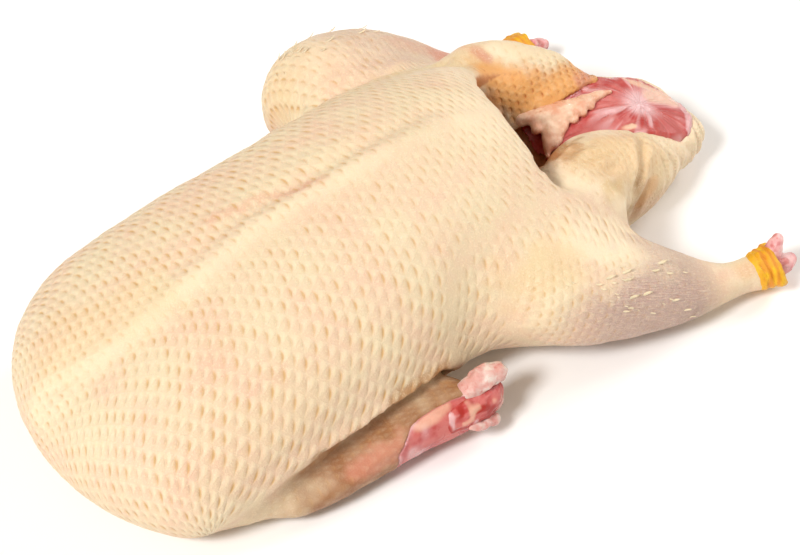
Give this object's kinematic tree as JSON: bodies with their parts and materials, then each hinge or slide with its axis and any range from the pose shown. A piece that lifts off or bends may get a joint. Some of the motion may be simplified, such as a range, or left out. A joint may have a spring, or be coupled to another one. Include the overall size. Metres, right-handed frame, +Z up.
{
  "type": "whole raw duck",
  "caption": "Whole raw duck lying on its back, plucked and drawn, with the vent open between folds of skin, legs cut at the hock and wings cut at the elbow.",
  "frame": {"origin": "middle of the duck's outline seen from above, on the table under its back", "axes": "+X towards the tail, +Y to the duck's left, +Z up out of the breast"},
  "size_m": [0.3424, 0.2116, 0.0943],
  "materials": {
    "skin": "moist satin, pale cream yellow with feather follicles",
    "flesh": "wet, dark pink red with pale membrane",
    "fat": "moist satin, pale pink cream",
    "cuff": "satin, yellow orange folded skin of the hock",
    "bone": "moist satin, pink white"
  },
  "bodies": {
    "root": {"carcass": "skin", "left_shank_bone": "bone", "right_shank_bone": "bone", "left_wing_bone": "bone", "right_wing_bone": "bone"}
  },
  "joints": []
}
